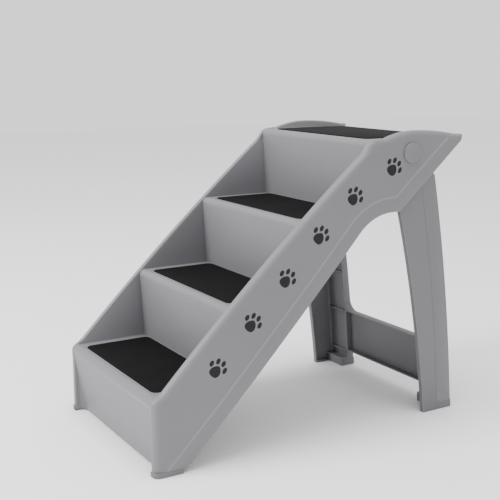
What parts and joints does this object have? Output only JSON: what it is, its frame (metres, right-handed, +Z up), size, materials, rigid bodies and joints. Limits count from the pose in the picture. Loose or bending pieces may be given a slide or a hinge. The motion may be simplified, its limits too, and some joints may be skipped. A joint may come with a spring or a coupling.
{
  "type": "folding pet stairs",
  "caption": "Folding plastic pet stairs: moulded stepped flight between hollow side rails, dark tread mats, and a leg frame that folds in under the flight on two pivot pins.",
  "frame": {"origin": "floor level, at the middle of the outline's width and depth, with the stairs standing open", "axes": "+X across the width to the right of a pet that climbs, +Y in the direction of the climb, +Z up"},
  "size_m": [0.3596, 0.6064, 0.5135],
  "materials": {
    "grey_plastic": "fine moulded texture, satin",
    "mat_rubber": "matt ribbed rubber",
    "foot_rubber": "matt rubber"
  },
  "bodies": {
    "stairs": {"stair_body": "grey_plastic", "tread_mat_1": "mat_rubber", "tread_mat_2": "mat_rubber", "tread_mat_3": "mat_rubber", "tread_mat_4": "mat_rubber", "pivot_pin_left": "grey_plastic", "pivot_pin_right": "grey_plastic", "pin_cap_left": "grey_plastic", "pin_cap_right": "grey_plastic", "front_foot_left": "foot_rubber", "front_foot_right": "foot_rubber"},
    "legs": {"leg_frame": "grey_plastic", "rear_foot_left": "foot_rubber", "rear_foot_right": "foot_rubber"}
  },
  "joints": [
    {"name": "leg_fold", "type": "hinge", "parent": "stairs", "child": "legs", "pos_m": [0, 0.18665, 0.4768], "axis": [-1, 0, 0], "range_deg": [0, 54]}
  ]
}
